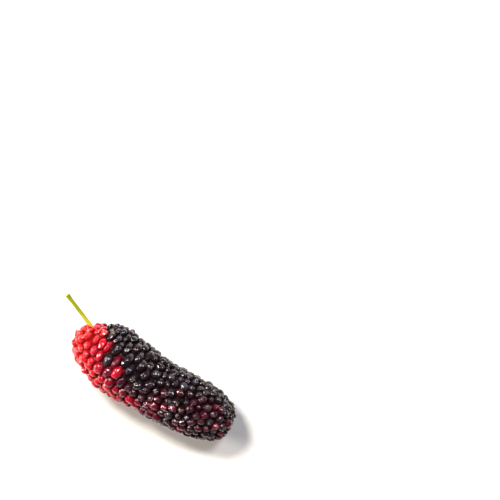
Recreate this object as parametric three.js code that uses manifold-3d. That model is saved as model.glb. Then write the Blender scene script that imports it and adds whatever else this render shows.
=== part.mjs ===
// A mulberry on its cut stalk, lying on its side. Millimetres, +Z up, the surface it lies on at Z = 0.
// The fruit is long, blunt and gently bent, with a slight waist, and is covered all over in drupelets,
// each raised as a faceted dome. Those at the stalk end are still red and the rest are black: each
// colour is a solid of its own, and the two part along the valleys between drupelets.
import * as THREE from "three";
import { mergeVertices } from "three/addons/utils/BufferGeometryUtils.js";
import Module from "manifold-3d";

// Fruit, measured over the tops of its drupelets
const RADIUS_AT_STALK = 9.8; // before the end is rounded off
const RADIUS_AT_TIP = 7.5;
const BLUNTNESS_AT_STALK = 2.8; // exponent of the superellipse that rounds the end; 2 is an ellipse
const BLUNTNESS_AT_TIP = 3.4;
const WAIST_DEPTH = 0.1; // share of the radius lost halfway along
const WAIST_LENGTH = 0.2; // share of the fruit's length over which that fades, to each side

// Axis of the fruit: a curve that bows to -Y and sinks a little towards the slimmer tip
const AXIS_START = [-17.5, 4.1, 8.5]; // where the stalk joins
const AXIS_REACH = [43.6, -2.3, -1.7]; // from there to the tip
const AXIS_LEAVE = [5.2, -6.0, -0.2]; // control points from there
const AXIS_ARRIVE = [27.7, -5.7, -1.1];

// Drupelets
const PITCH_AT_STALK = 2.4; // from one to the next
const PITCH_AT_TIP = 2.3;
const ROW_PITCH = 0.87; // from ring to ring, as a share of the pitch
const RING_TURN = [0.5, 0.65]; // least and most that a ring is turned against the last, in pitches
const PLACE_SPREAD = 0.17; // share of the pitch by which places differ
const DRUPELET_HEIGHT = 1.3; // above the valleys
const HEIGHT_SPREAD = 0.15; // share by which heights differ
const SHOULDER_RADIUS = 0.6; // share of the way out to the valley where a dome turns down
const SHOULDER_HEIGHT = 0.8; // share of the height there
const DRAW_SEED = 20261;

// Longest drupelets: a patch on the upper side of the bend's inside
const LONG_PLACE = 13; // from the stalk
const LONG_ANGLE = 70; // degrees up from level
const LONG_PLACE_SPREAD = 6;
const LONG_ANGLE_SPREAD = 40;
const LONG_GAIN = 1.6; // share by which they are longer than the rest

// Red reaches this far from the stalk on top, and further or less by the slant on either side
const RED_REACH = 12.3;
const RED_SLANT = 13;
const RED_CAP = 4.8; // how far from the stalk every drupelet is red
const SEAM_GAP = 0.34; // between the solids of the two colours
const WALL_RING = 0.7; // share of the way out from the heart to the seam at which the wall is smooth

// Stalk
const STALK_RADIUS = 0.55;
const STALK_END_RADIUS = 0.68;
const STALK_SWELL_FROM = 0.75; // share of the length from which the cut end swells
const STALK_REACH = [-8.5, 3.5, 2.6]; // free end, from the joint
const STALK_BOW = [-4.3, 1.75, 1.0]; // control point, from the joint
const STALK_DEPTH = 2.3; // from the joint into the fruit
const STALK_SIDES = 10;
const STALK_STEPS = 10;
const SOCKET_GAP = 0.3; // round the stalk and under it
const SOCKET_REACH = 3.5; // out from the joint, past the drupelets round it

const AXIS_STEPS = 400;
const ROUND_STEPS = 360;
const SURFACE_SIZE = 200; // block that presses the fruit flat where it rests
const WELD = 1e-4;
const LEAST_IN_RING = 3;
const UP = new THREE.Vector3(0, 0, 1);
const TURN = 2 * Math.PI;
const { degToRad } = THREE.MathUtils;

// A repeatable draw from 0 to 1
function drawsFrom(seed) {
  let state = seed;
  return () => {
    state = (state * 48271) % 2147483647;
    return state / 2147483647;
  };
}

const mix = (from, to, share) => from + (to - from) * share;
const bump = (distance) => Math.exp(-distance * distance);
const wrap = (angle) => angle - TURN * Math.round(angle / TURN);

function middle(points) {
  const sum = points.reduce((total, point) => total.add(point), new THREE.Vector3());
  return sum.divideScalar(points.length);
}

function makeAxis() {
  const start = new THREE.Vector3(...AXIS_START);
  const fromStart = (offset) => start.clone().add(new THREE.Vector3(...offset));
  const curve = new THREE.CubicBezierCurve3(
    start,
    fromStart(AXIS_LEAVE),
    fromStart(AXIS_ARRIVE),
    fromStart(AXIS_REACH)
  );
  curve.arcLengthDivisions = AXIS_STEPS;
  return curve;
}

// The fruit's outer form: a meridian from the stalk's pole to the tip's, carried round the axis
class FruitForm {
  constructor(axis) {
    this.axis = axis;
    this.length = axis.getLength();
    this.arcs = [0];
    let last = this.profile(0);
    for (let i = 1; i <= AXIS_STEPS; i++) {
      const next = this.profile((Math.PI * i) / AXIS_STEPS);
      const step = Math.hypot(next.along - last.along, next.out - last.out);
      this.arcs.push(this.arcs[i - 1] + step);
      last = next;
    }
    this.meridian = this.arcs[AXIS_STEPS];
  }

  // Distance along the axis and out from it, at an angle from the stalk's pole
  profile(turn) {
    const power = 2 / (turn < Math.PI / 2 ? BLUNTNESS_AT_STALK : BLUNTNESS_AT_TIP);
    const cosine = Math.cos(turn);
    const share = 0.5 - 0.5 * Math.sign(cosine) * Math.abs(cosine) ** power;
    const waist = 1 - WAIST_DEPTH * bump((share - 0.5) / WAIST_LENGTH);
    const radius = mix(RADIUS_AT_STALK, RADIUS_AT_TIP, share) * waist;
    return {
      along: share * this.length,
      out: radius * Math.abs(Math.sin(turn)) ** power,
    };
  }

  // The angle from the stalk's pole at which the meridian is this long
  turnAt(arc) {
    const found = this.arcs.findIndex((reached) => reached >= arc);
    const i = Math.max(1, found < 0 ? AXIS_STEPS : found);
    const share = (arc - this.arcs[i - 1]) / (this.arcs[i] - this.arcs[i - 1]);
    return (Math.PI * (i - 1 + share)) / AXIS_STEPS;
  }

  // The point at a length along the meridian and an angle round the axis, and the way out from it
  at(arc, round) {
    const turn = this.turnAt(Math.min(Math.max(arc, 0), this.meridian));
    const step = Math.PI / AXIS_STEPS;
    const here = this.profile(turn);
    const before = this.profile(Math.max(turn - step, 0));
    const after = this.profile(Math.min(turn + step, Math.PI));
    const tangent = this.axis.getTangentAt(here.along / this.length);
    const side = UP.clone().cross(tangent).normalize();
    const lift = tangent.clone().cross(side);
    const spoke = side.multiplyScalar(Math.cos(round)).addScaledVector(lift, Math.sin(round));
    const out = spoke
      .clone()
      .multiplyScalar(after.along - before.along)
      .addScaledVector(tangent, before.out - after.out)
      .normalize();
    const centre = this.axis.getPointAt(here.along / this.length);
    return {
      point: centre.addScaledVector(spoke, here.out),
      out,
      along: here.along,
      radius: here.out,
    };
  }
}

// How much longer a drupelet is at this place than the rest
function longAt(along, round) {
  const off = wrap(round - degToRad(LONG_ANGLE)) / degToRad(LONG_ANGLE_SPREAD);
  return 1 + LONG_GAIN * bump((along - LONG_PLACE) / LONG_PLACE_SPREAD) * bump(off);
}

// Angles round one ring, closer together where the drupelets are no longer than the rest
function spreadRound(along, radius, pitch, twist) {
  const filled = [0];
  for (let i = 0; i < ROUND_STEPS; i++) {
    filled.push(filled[i] + 1 / longAt(along, (TURN * (i + 0.5)) / ROUND_STEPS));
  }
  const total = filled[ROUND_STEPS];
  const count = Math.max(LEAST_IN_RING, Math.round((total / ROUND_STEPS) * (TURN * radius) / pitch));
  return Array.from({ length: count }, (_, place) => {
    const wanted = (((place + twist * count) % count) / count) * total;
    const next = Math.max(1, filled.findIndex((reached) => reached >= wanted));
    const share = (wanted - filled[next - 1]) / (filled[next] - filled[next - 1]);
    return (TURN * (next - 1 + share)) / ROUND_STEPS;
  });
}

// Drupelets stand in rings round the fruit, each ring turned against the last and every place shifted
// a little. The first place is where the stalk enters, and the last is the drupelet at the very tip.
function placeDrupelets(form) {
  const draw = drawsFrom(DRAW_SEED);
  const pitchAt = (arc) => mix(PITCH_AT_STALK, PITCH_AT_TIP, arc / form.meridian);
  const arcs = [0];
  while (arcs.at(-1) < form.meridian) {
    arcs.push(arcs.at(-1) + pitchAt(arcs.at(-1)) * ROW_PITCH);
  }
  const stretch = form.meridian / arcs.at(-1);
  let twist = 0;
  return arcs.map((unstretched, row) => {
    const arc = unstretched * stretch;
    if (row === 0 || row === arcs.length - 1) {
      return [{ arc, round: 0, height: row === 0 ? 0 : DRUPELET_HEIGHT, pole: true }];
    }
    const { radius, along } = form.at(arc, 0);
    const pitch = pitchAt(arc);
    twist += (mix(...RING_TURN, draw()) * pitch) / (TURN * radius);
    const ring = spreadRound(along, radius, pitch, twist).map((round) => {
      const shift = () => mix(-PLACE_SPREAD, PLACE_SPREAD, draw()) * pitch;
      return {
        arc: arc + shift(),
        round: round + shift() / Math.max(radius, pitch),
        height: DRUPELET_HEIGHT * mix(1 - HEIGHT_SPREAD, 1 + HEIGHT_SPREAD, draw()),
        pole: false,
      };
    });
    return ring.sort((a, b) => a.round - b.round);
  });
}

// Stitches neighbouring rings into triangles of three drupelets, each time the shorter way across
function stitchRings(rings, form) {
  rings.flat().forEach((site, index) => {
    Object.assign(site, form.at(site.arc, site.round), { index });
  });
  const triangles = [];
  const apart = (a, b) => a.point.distanceTo(b.point);
  const pick = (ring, i) => ring[i % ring.length];
  const steps = (ring) => (ring.length === 1 ? 0 : ring.length);
  for (let row = 0; row + 1 < rings.length; row++) {
    const near = rings[row];
    const far = rings[row + 1];
    const gaps = far.map((site) => apart(near[0], site));
    let i = 0;
    let j = gaps.indexOf(Math.min(...gaps));
    const lastJ = j + steps(far);
    while (i < steps(near) || j < lastJ) {
      const nearStep = apart(pick(near, i + 1), pick(far, j));
      const farStep = apart(pick(near, i), pick(far, j + 1));
      if (j >= lastJ || (i < steps(near) && nearStep < farStep)) {
        triangles.push([pick(near, i), pick(near, i + 1), pick(far, j)]);
        i++;
      } else {
        triangles.push([pick(near, i), pick(far, j + 1), pick(far, j)]);
        j++;
      }
    }
  }
  return triangles;
}

// The valley point where three drupelets meet, sunk below the form
function sinkValley(corners, form) {
  const free = corners.filter((site) => !site.pole);
  const first = free[0].round;
  const round = first + free.reduce((sum, site) => sum + wrap(site.round - first), 0) / free.length;
  const arc = corners.reduce((sum, site) => sum + site.arc, 0) / corners.length;
  const { point, out } = form.at(arc, round);
  return point.addScaledVector(out, -DRUPELET_HEIGHT);
}

// The triangles round each drupelet, in order, each with the drupelet across the edge that follows it
function cellsOf(sites, triangles) {
  const onward = sites.map(() => new Map());
  triangles.forEach((corners, triangle) => {
    corners.forEach((site, k) => {
      const next = corners[(k + 1) % 3];
      const across = corners[(k + 2) % 3];
      onward[site.index].set(next.index, { triangle, across });
    });
  });
  return onward.map((links) => {
    const cell = [];
    let at = links.keys().next().value;
    while (cell.length < links.size) {
      cell.push(links.get(at));
      at = cell.at(-1).across.index;
    }
    return cell;
  });
}

// The step from a valley that both colours share to one colour's side of the gap between them
function seamStep(corners, chosen) {
  const own = corners.filter((site) => chosen(site));
  const others = corners.filter((site) => !chosen(site));
  if (!own.length || !others.length) return new THREE.Vector3();
  const from = middle(others.map((site) => site.point));
  return middle(own.map((site) => site.point)).sub(from).setLength(SEAM_GAP / 2);
}

// The valleys between the two colours, in order round the fruit
function traceSeam({ sites, cells }, chosen) {
  const onward = new Map();
  sites.filter(chosen).forEach((site) => {
    const cell = cells[site.index];
    cell.forEach(({ triangle, across }, k) => {
      if (!chosen(across)) onward.set(cell[(k + 1) % cell.length].triangle, triangle);
    });
  });
  const seam = [onward.keys().next().value];
  while (seam.length < onward.size) seam.push(onward.get(seam.at(-1)));
  return seam;
}

// A closed surface over the drupelets of one colour, with a wall from the seam in to a point. Between
// the two, the wall passes through a ring that follows the seam without its zigzags.
function coverDrupelets(fruit, chosen) {
  const { sites, triangles, valleys, cells } = fruit;
  const steps = triangles.map((corners) => seamStep(corners, chosen));
  const points = valleys.map((valley, i) => valley.clone().add(steps[i]));
  const faces = [];
  sites.filter(chosen).forEach((site) => {
    const rim = cells[site.index].map(({ triangle }) => triangle);
    const floor = site.point.clone().addScaledVector(site.out, -DRUPELET_HEIGHT);
    const top = points.push(floor.clone().addScaledVector(site.out, site.height)) - 1;
    const shoulder = rim.map((valley) => {
      const place = floor.clone().lerp(points[valley], SHOULDER_RADIUS);
      return points.push(place.addScaledVector(site.out, site.height * SHOULDER_HEIGHT)) - 1;
    });
    rim.forEach((valley, k) => {
      const next = (k + 1) % rim.length;
      faces.push([valley, rim[next], shoulder[next]]);
      faces.push([valley, shoulder[next], shoulder[k]]);
      faces.push([shoulder[k], shoulder[next], top]);
    });
  });
  const seam = traceSeam(fruit, chosen);
  const inward = middle(seam.map((i) => steps[i])).setLength(SEAM_GAP / 2);
  const heart = middle(seam.map((i) => valleys[i]));
  const ring = seam.map((_, k) => {
    const nearby = [-2, -1, 0, 1, 2].map((shift) => seam.at((k + shift) % seam.length));
    const smooth = middle(nearby.map((i) => valleys[i]));
    return points.push(heart.clone().lerp(smooth, WALL_RING).add(inward)) - 1;
  });
  const centre = points.push(heart.add(inward)) - 1;
  seam.forEach((valley, k) => {
    const next = (k + 1) % seam.length;
    const [near, far] = [ring[k], ring[next]];
    faces.push([near, far, centre]);
    // Both colours split a face of the wall along the same diagonal
    if (valley < seam[next]) faces.push([valley, seam[next], far], [valley, far, near]);
    else faces.push([valley, seam[next], near], [seam[next], far, near]);
  });
  return makeGeometry(points, faces);
}

function makeGeometry(points, faces) {
  const used = [...new Set(faces.flat())];
  const places = new Map(used.map((index, place) => [index, place]));
  const flat = used.flatMap((index) => points[index].toArray());
  const geometry = new THREE.BufferGeometry();
  geometry.setAttribute("position", new THREE.Float32BufferAttribute(flat, 3));
  geometry.setIndex(faces.flat().map((index) => places.get(index)));
  return geometry;
}

// A round bar along a curve, closed at both ends, with a radius for each share of its length
function makeBar(curve, radiusAt, steps, sides) {
  const points = [];
  const faces = [];
  for (let i = 0; i <= steps; i++) {
    const centre = curve.getPointAt(i / steps);
    const tangent = curve.getTangentAt(i / steps);
    const across = UP.clone().cross(tangent).normalize();
    const over = tangent.clone().cross(across);
    const radius = radiusAt(i / steps);
    for (let k = 0; k < sides; k++) {
      const angle = (TURN * k) / sides;
      points.push(
        centre
          .clone()
          .addScaledVector(across, radius * Math.cos(angle))
          .addScaledVector(over, radius * Math.sin(angle))
      );
    }
  }
  const start = points.push(curve.getPointAt(0)) - 1;
  const end = points.push(curve.getPointAt(1)) - 1;
  for (let k = 0; k < sides; k++) {
    const next = (k + 1) % sides;
    faces.push([start, next, k]);
    faces.push([end, steps * sides + k, steps * sides + next]);
    for (let i = 0; i < steps; i++) {
      const low = i * sides;
      faces.push([low + k, low + next, low + sides + next]);
      faces.push([low + k, low + sides + next, low + sides + k]);
    }
  }
  return makeGeometry(points, faces);
}

// Solids for cutting
const wasm = await Module();
wasm.setup();

function toSolid(geometry) {
  const bare = geometry.clone();
  bare.deleteAttribute("normal");
  bare.deleteAttribute("uv");
  const merged = mergeVertices(bare, WELD);
  return new wasm.Manifold(
    new wasm.Mesh({
      numProp: 3,
      vertProperties: merged.attributes.position.array,
      triVerts: new Uint32Array(merged.index.array),
    })
  );
}

function toGeometry(solid) {
  const { vertProperties, triVerts } = solid.getMesh();
  const geometry = new THREE.BufferGeometry();
  geometry.setAttribute("position", new THREE.BufferAttribute(vertProperties, 3));
  geometry.setIndex(new THREE.BufferAttribute(triVerts, 1));
  geometry.computeVertexNormals();
  return geometry;
}

// Fruit
const form = new FruitForm(makeAxis());
const rings = placeDrupelets(form);
const triangles = stitchRings(rings, form);
const sites = rings.flat();
const fruit = {
  sites,
  triangles,
  valleys: triangles.map((corners) => sinkValley(corners, form)),
  cells: cellsOf(sites, triangles),
};
const isRed = ({ arc, along, round }) =>
  arc < RED_CAP || along < RED_REACH - RED_SLANT * Math.cos(round);
const isAtStalk = (site) => site.index === 0;
const isOfRedSolid = (site) => isAtStalk(site) || isRed(site);
const isOfBlackSolid = (site) => !isOfRedSolid(site);

// Stalk, from its root in the socket to its cut end
const joint = new THREE.Vector3(...AXIS_START);
const bow = new THREE.Vector3(...STALK_BOW);
const outward = bow.clone().normalize();
const stalkCurve = new THREE.QuadraticBezierCurve3(
  joint.clone().addScaledVector(outward, -STALK_DEPTH),
  joint.clone().add(bow),
  joint.clone().add(new THREE.Vector3(...STALK_REACH))
);

function stalkRadiusAt(share) {
  const swell = Math.max(0, (share - STALK_SWELL_FROM) / (1 - STALK_SWELL_FROM));
  return mix(STALK_RADIUS, STALK_END_RADIUS, swell * swell);
}

// Cutters for the stalk's socket and for the flat on which the fruit rests
const socketLine = new THREE.LineCurve3(
  joint.clone().addScaledVector(outward, -STALK_DEPTH - SOCKET_GAP),
  joint.clone().addScaledVector(outward, SOCKET_REACH)
);
const socket = toSolid(makeBar(socketLine, () => STALK_RADIUS + SOCKET_GAP, 1, STALK_SIDES));
const surface = toSolid(
  new THREE.BoxGeometry(SURFACE_SIZE, SURFACE_SIZE, SURFACE_SIZE).translate(0, 0, -SURFACE_SIZE / 2)
);

function makeFruitSolid(name, chosen, colour) {
  const whole = toSolid(coverDrupelets(fruit, chosen));
  const finished = whole.subtract(surface).subtract(socket);
  const skin = new THREE.MeshStandardMaterial({ color: colour, roughness: 0.28 });
  const mesh = new THREE.Mesh(toGeometry(finished), skin);
  mesh.name = name;
  return mesh;
}

function makeStalk() {
  const skin = new THREE.MeshStandardMaterial({ color: 0xb5c52b, roughness: 0.5 });
  const bar = makeBar(stalkCurve, stalkRadiusAt, STALK_STEPS, STALK_SIDES);
  const mesh = new THREE.Mesh(bar, skin);
  mesh.name = "stalk";
  return mesh;
}

const mulberry = new THREE.Group();
mulberry.add(
  makeFruitSolid("red_drupelets", isOfRedSolid, 0xd8141f),
  makeFruitSolid("black_drupelets", isOfBlackSolid, 0x1d1218),
  makeStalk()
);

export default mulberry;
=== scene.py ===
"""A mulberry on its cut stalk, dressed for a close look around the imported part.

The fruit is set with drupelets by the same rule as the part, and each one is raised here as a taut,
glossy dome that meets its neighbours in a deep valley. Its stalk end is still red and the rest is ripe
and black, with wine-coloured drupelets between and along the outside of the bend. Lengths are in
millimetres until a mesh is made, which is in metres like the frame: +Z up, the surface it lies on at 0.
"""

from __future__ import annotations

import logging
import math
from dataclasses import dataclass, field
from enum import Enum
from typing import Any, Iterator

import bpy
import numpy as np
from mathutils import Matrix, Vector

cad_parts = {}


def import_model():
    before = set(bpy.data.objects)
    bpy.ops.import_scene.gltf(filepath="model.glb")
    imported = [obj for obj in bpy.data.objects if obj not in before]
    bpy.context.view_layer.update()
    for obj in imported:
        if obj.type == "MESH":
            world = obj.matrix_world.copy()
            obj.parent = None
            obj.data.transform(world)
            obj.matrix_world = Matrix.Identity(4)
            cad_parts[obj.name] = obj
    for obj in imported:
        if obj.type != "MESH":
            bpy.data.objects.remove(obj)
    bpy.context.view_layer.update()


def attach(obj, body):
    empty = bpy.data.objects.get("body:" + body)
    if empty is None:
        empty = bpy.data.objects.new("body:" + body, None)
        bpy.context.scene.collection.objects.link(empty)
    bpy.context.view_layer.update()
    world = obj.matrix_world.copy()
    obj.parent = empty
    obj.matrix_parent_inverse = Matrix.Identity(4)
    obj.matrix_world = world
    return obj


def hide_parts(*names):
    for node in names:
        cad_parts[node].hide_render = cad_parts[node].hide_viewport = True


log = logging.getLogger("mulberry")

BODY = "root"
MM = 0.001
TURN = 2 * math.pi
UP = np.array([0.0, 0.0, 1.0])
PHOTO_SIDE = 500
ROUNDING = 1e-12
TRACE = 1e-9

# Settings that several nodes share, and the span that most of a noise's values lie in
SMOOTH = {"interpolation_type": "SMOOTHSTEP"}
TIMES = {"operation": "MULTIPLY"}
PLUS = {"operation": "ADD"}
COLOURED = {"data_type": "RGBA"}
NOISE_SPAN = (0.3, 0.7)

Stops = tuple[tuple[float, str], ...]
Table = tuple[tuple[float, float], ...]
Span = tuple[float, float]
Inputs = dict[Any, Any] | list[Any]


def mix(start: Any, end: Any, share: Any) -> Any:
    """Return the value this share of the way from start to end."""
    return start + (end - start) * share


def bump(distance: Any) -> Any:
    """Return 1 at a distance of 0, fading to nothing past about 2."""
    return np.exp(-np.square(distance))


def smooth_step(value: Any) -> Any:
    """Return a soft step from 0 to 1 as the value goes from 0 to 1."""
    held = np.clip(value, 0, 1)
    return held * held * (3 - 2 * held)


def rise(value: Any, low: float, high: float) -> Any:
    """Return a soft step from 0 to 1 as the value goes from low to high."""
    return smooth_step((value - low) / (high - low))


def wrap(angle: Any) -> Any:
    """Return the angle brought to within half a turn of 0."""
    return angle - TURN * np.floor(np.divide(angle, TURN) + 0.5)


def unit(vectors: np.ndarray) -> np.ndarray:
    """Return vectors of length 1 along the last axis."""
    return vectors / np.maximum(np.linalg.norm(vectors, axis=-1, keepdims=True), ROUNDING)


def look_up(table: Table, place: np.ndarray) -> np.ndarray:
    """Return a table's values at these places, in proportion between its rows."""
    return np.interp(place, *zip(*table))


def linear(colour: str) -> tuple[float, float, float, float]:
    """Turn an sRGB hex colour into the linear one that shaders and lights take.

    Args:
        colour: six hex digits after a "#".

    Returns:
        Linear red, green, blue and an alpha of 1.
    """
    parts = [int(colour[i : i + 2], 16) / 255 for i in (1, 3, 5)]
    made = [c / 12.92 if c <= 0.04045 else ((c + 0.055) / 1.055) ** 2.4 for c in parts]
    return (made[0], made[1], made[2], 1.0)


def per_metre(millimetres: float) -> float:
    """Return the scale that gives a pattern features of this size."""
    return 1 / (millimetres * MM)


def fill_inputs(tree: bpy.types.NodeTree, node: Any, inputs: Inputs) -> None:
    """Set or link a node's inputs.

    Args:
        tree: the tree that the node is in.
        node: the node.
        inputs: a value, or the socket to link from, for each input by name or place, or else for the
            first inputs in their order.
    """
    for name, value in inputs.items() if isinstance(inputs, dict) else enumerate(inputs):
        if isinstance(value, bpy.types.NodeSocket):
            tree.links.new(value, node.inputs[name])
        else:
            node.inputs[name].default_value = value


def add_node(tree: bpy.types.NodeTree, kind: str, settings: dict[str, Any], inputs: Inputs) -> Any:
    """Add a node with its settings and links.

    Args:
        tree: the tree that takes the node.
        kind: the node's type, without the "ShaderNode" that they all start with.
        settings: properties of the node by name.
        inputs: what its inputs take, as for fill_inputs.

    Returns:
        The new node.
    """
    node = tree.nodes.new("ShaderNode" + kind)
    for name, value in settings.items():
        setattr(node, name, value)
    fill_inputs(tree, node, inputs)
    return node


def set_stops(node: Any, stops: Stops) -> None:
    """Set a colour ramp's stops.

    Args:
        node: the colour ramp node.
        stops: place and sRGB hex colour of each stop, in order.
    """
    ramp = node.color_ramp
    while len(ramp.elements) < len(stops):
        ramp.elements.new(1.0)
    for element, (place, colour) in zip(ramp.elements, stops):
        element.position = place
        element.color = linear(colour)


def new_material(name: str) -> tuple[bpy.types.Material, Any, Any]:
    """Start a node material.

    Args:
        name: the material's name.

    Returns:
        The material, its node tree and its Principled shader.
    """
    material = bpy.data.materials.new(name)
    material.use_nodes = True
    tree = material.node_tree
    return material, tree, tree.nodes["Principled BSDF"]


def flecked_material(name: str, grain_mm: float, stops: Stops, roughness: float) -> bpy.types.Material:
    """Mix a dull finish whose colour drifts with a noise.

    Args:
        name: the material's name.
        grain_mm: size of a fleck.
        stops: colours along the noise.
        roughness: the shader's roughness.

    Returns:
        The finish as a material.
    """
    material, tree, skin = new_material(name)
    spot = add_node(tree, "TexCoord", {}, []).outputs["Object"]
    fleck = add_node(tree, "TexNoise", {}, {"Vector": spot, "Scale": per_metre(grain_mm)})
    ramp = add_node(tree, "ValToRGB", {}, [fleck.outputs[0]])
    set_stops(ramp, stops)
    fill_inputs(tree, skin, {"Base Color": ramp.outputs[0], "Roughness": roughness})
    return material


@dataclass(frozen=True)
class DrupeletSkin:
    """Skin of a mulberry's drupelets: four fleshy tepals swollen tight with juice.

    The skin is thin, smooth and wet-looking, so each dome carries a crisp window highlight over a
    broader sheen. Unripe red flesh lets light in and glows, ripe flesh is so dark that only the sheen
    shows. Faint creases between the tepals meet at the tip, where the dried style leaves a tan scar.
    The mesh tells the shader how ripe each drupelet is and how far out on its dome a place lies, from
    0 at the tip to 1 at the dome's foot.
    """

    name: str
    flesh: float
    sheen: float
    # Painted shade: the colour multiplied into each dome towards its foot, standing in for the shade in
    # the valleys
    valley: str
    stops: Stops = (
        (0.0, "#CA161A"),
        (0.16, "#BC0E26"),
        (0.34, "#A20C24"),
        (0.52, "#780C26"),
        (0.7, "#4A0A21"),
        (0.86, "#290B19"),
        (1.0, "#190A12"),
    )
    mottle_mm: float = 0.9
    mottle_shift: float = 0.07
    # Painted sheen: the grey mixed into some ripe drupelets, standing in for a gleam of light, with
    # where and how much
    painted_sheen: str = "#312833"
    painted_sheen_from: Span = (0.7, 0.95)
    painted_sheen_cover: float = 0.7
    # Where on the dome the painted valley shade begins and where it is full
    painted_shade_from: Span = (0.62, 1.1)
    scar: str = "#8A6A48"
    scar_reach: Span = (0.11, 0.0495)
    scar_cover: float = 0.8
    scar_chance: float = 0.5
    dent_mm: float = 0.55
    dent_share: float = 1.1
    creased_from: Span = (0.95, 0.35)
    crease_depth_mm: float = 0.1
    taut_until: Span = (0.2, 0.9)
    taut_relief: float = 0.12
    grain_mm: float = 0.12
    grain_depth_mm: float = 0.01
    polish: Span = (0.14, 0.28)
    dull_from: Span = (0.6, 1.0)
    valley_roughness: float = 0.4
    coat_from: Span = (1.0, 0.72)
    coat: Span = (0.1, 0.95)
    glow: tuple[float, float, float] = (1.0, 0.2, 0.12)
    glow_depth_mm: float = 0.9

    def make(self) -> bpy.types.Material:
        """Mix the skin.

        Returns:
            The finish as a material.
        """
        material, tree, skin = new_material(self.name)
        spot = add_node(tree, "TexCoord", {}, []).outputs["Object"]
        kind = add_node(tree, "Attribute", {"attribute_name": "drupelet_kind"}, [])
        kinds = add_node(tree, "SeparateXYZ", {}, [kind.outputs["Vector"]]).outputs
        place = add_node(tree, "Attribute", {"attribute_name": "drupelet_place"}, []).outputs["Vector"]
        crown = add_node(tree, "SeparateXYZ", {}, [place]).outputs[2]
        scale = per_metre(self.mottle_mm)
        mottle = add_node(tree, "TexNoise", {}, {"Vector": spot, "Scale": scale}).outputs[0]
        creased, grained = self._crease(tree, spot, place, kinds, crown)

        # Light catches the domes and hardly reaches the valleys between them
        sheen = add_node(tree, "MapRange", {}, [mottle, *NOISE_SPAN, *self.polish])
        dull = add_node(tree, "MapRange", {}, [crown, *self.dull_from, 0.0, self.valley_roughness])
        rough = add_node(tree, "Math", PLUS, [sheen.outputs[0], dull.outputs[0]])
        coat = add_node(tree, "MapRange", SMOOTH, [crown, *self.coat_from, *self.coat])
        dressed = {
            "Base Color": self._paint(tree, mottle, kinds, crown),
            "Roughness": rough.outputs[0],
            "IOR": 1.38,
            "Normal": grained,
            "Specular IOR Level": self.sheen,
            "Subsurface Weight": self.flesh,
            "Subsurface Radius": self.glow,
            "Subsurface Scale": self.glow_depth_mm * MM,
            "Coat Weight": coat.outputs[0],
            "Coat Roughness": 0.03,
            "Coat IOR": 1.52,
            "Coat Normal": creased,
        }
        fill_inputs(tree, skin, dressed)
        return material

    def _paint(self, tree: Any, mottle: Any, kinds: Any, crown: Any) -> Any:
        """Mix the skin's colour, with painted sheen and painted valley shade.

        Args:
            tree: the material's nodes.
            mottle: noise that varies inside a drupelet.
            kinds: each drupelet's ripeness, chance and share of painted sheen.
            crown: how far out on its dome a place lies.

        Returns:
            The socket that carries the colour.
        """
        # Colour differs a little inside each drupelet, and most where it is turning
        drift = [mottle, *NOISE_SPAN, -self.mottle_shift, self.mottle_shift]
        shift = add_node(tree, "MapRange", {}, drift)
        shifted = add_node(tree, "Math", PLUS, [kinds[0], shift.outputs[0]]).outputs[0]
        ramp = add_node(tree, "ValToRGB", {}, [shifted])
        set_stops(ramp, self.stops)

        # Painted sheen: some ripe drupelets get a thin grey mixed into their colour, standing in for a
        # grey gleam of light on the skin
        painted_sheen_share = add_node(tree, "MapRange", SMOOTH, [shifted, *self.painted_sheen_from, 0.0, self.painted_sheen_cover])
        painted_sheen_mask = add_node(tree, "Math", TIMES, [painted_sheen_share.outputs[0], kinds[2]])
        painted_sheen_inputs = {0: painted_sheen_mask.outputs[0], 6: ramp.outputs[0], 7: linear(self.painted_sheen)}
        with_painted_sheen = add_node(tree, "Mix", COLOURED, painted_sheen_inputs)

        # Painted shade: the colour is multiplied darker towards each dome's foot, standing in for the
        # shade in the valleys between drupelets
        depth = add_node(tree, "MapRange", SMOOTH, [crown, *self.painted_shade_from])
        shade = {0: depth.outputs[0], 6: with_painted_sheen.outputs[2], 7: linear(self.valley)}
        sunk = add_node(tree, "Mix", COLOURED | {"blend_type": "MULTIPLY"}, shade)

        # Tan scar of the style at the tip of about half the drupelets
        near_tip = add_node(tree, "MapRange", SMOOTH, [crown, *self.scar_reach, 0.0, self.scar_cover])
        kept = add_node(tree, "Math", {"operation": "GREATER_THAN"}, [kinds[1], self.scar_chance])
        scarred = add_node(tree, "Math", TIMES, [near_tip.outputs[0], kept.outputs[0]])
        tanned = {0: scarred.outputs[0], 6: sunk.outputs[2], 7: linear(self.scar)}
        return add_node(tree, "Mix", COLOURED, tanned).outputs[2]

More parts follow.
